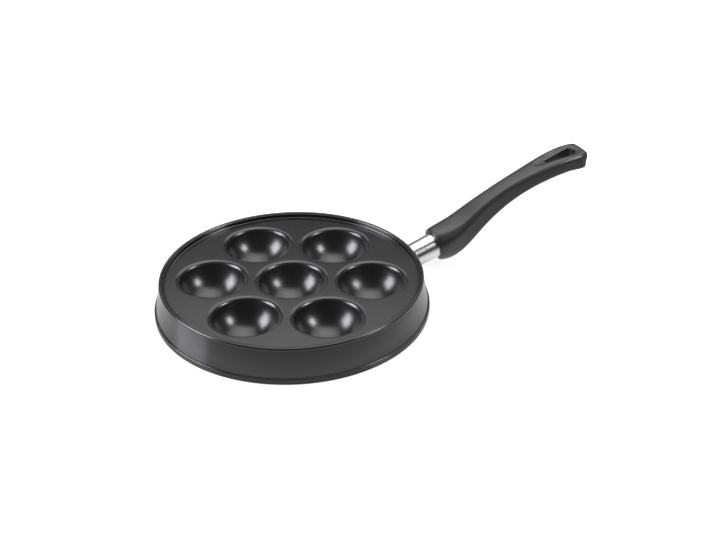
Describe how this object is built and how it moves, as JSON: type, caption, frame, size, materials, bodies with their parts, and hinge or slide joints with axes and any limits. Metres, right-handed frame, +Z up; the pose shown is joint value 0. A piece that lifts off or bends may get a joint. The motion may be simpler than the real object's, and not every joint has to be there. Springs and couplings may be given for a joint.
{
  "type": "aebleskiver pan",
  "caption": "Stovetop pan with half-round cups pressed into its plate for round filled pancakes, a closed flat base and a long cool handle with a hanging slot.",
  "frame": {"origin": "middle of the flat base, on the surface that the pan stands on", "axes": "+Z up, +X from the middle of the pan along the handle, +Y to the left when looking along +X"},
  "size_m": [0.4041, 0.2304, 0.0791],
  "materials": {
    "plate_coating": "dark non-stick coating, satin",
    "skirt_coating": "dark coating, semi-gloss",
    "base_coating": "dark coating, semi-gloss",
    "polished_sleeve": "polished stainless steel",
    "phenolic": "black phenolic moulding, satin",
    "stud_steel": "bare turned steel",
    "zinc_plated_steel": "zinc plated"
  },
  "bodies": {
    "root": {"cup_plate": "plate_coating", "skirt": "skirt_coating", "base_plate": "base_coating", "handle_sleeve": "polished_sleeve", "handle_grip": "phenolic", "handle_stud": "stud_steel", "stud_backing_plate": "stud_steel", "handle_screw": "zinc_plated_steel", "plain_washer": "zinc_plated_steel", "spring_washer": "zinc_plated_steel"}
  },
  "joints": []
}
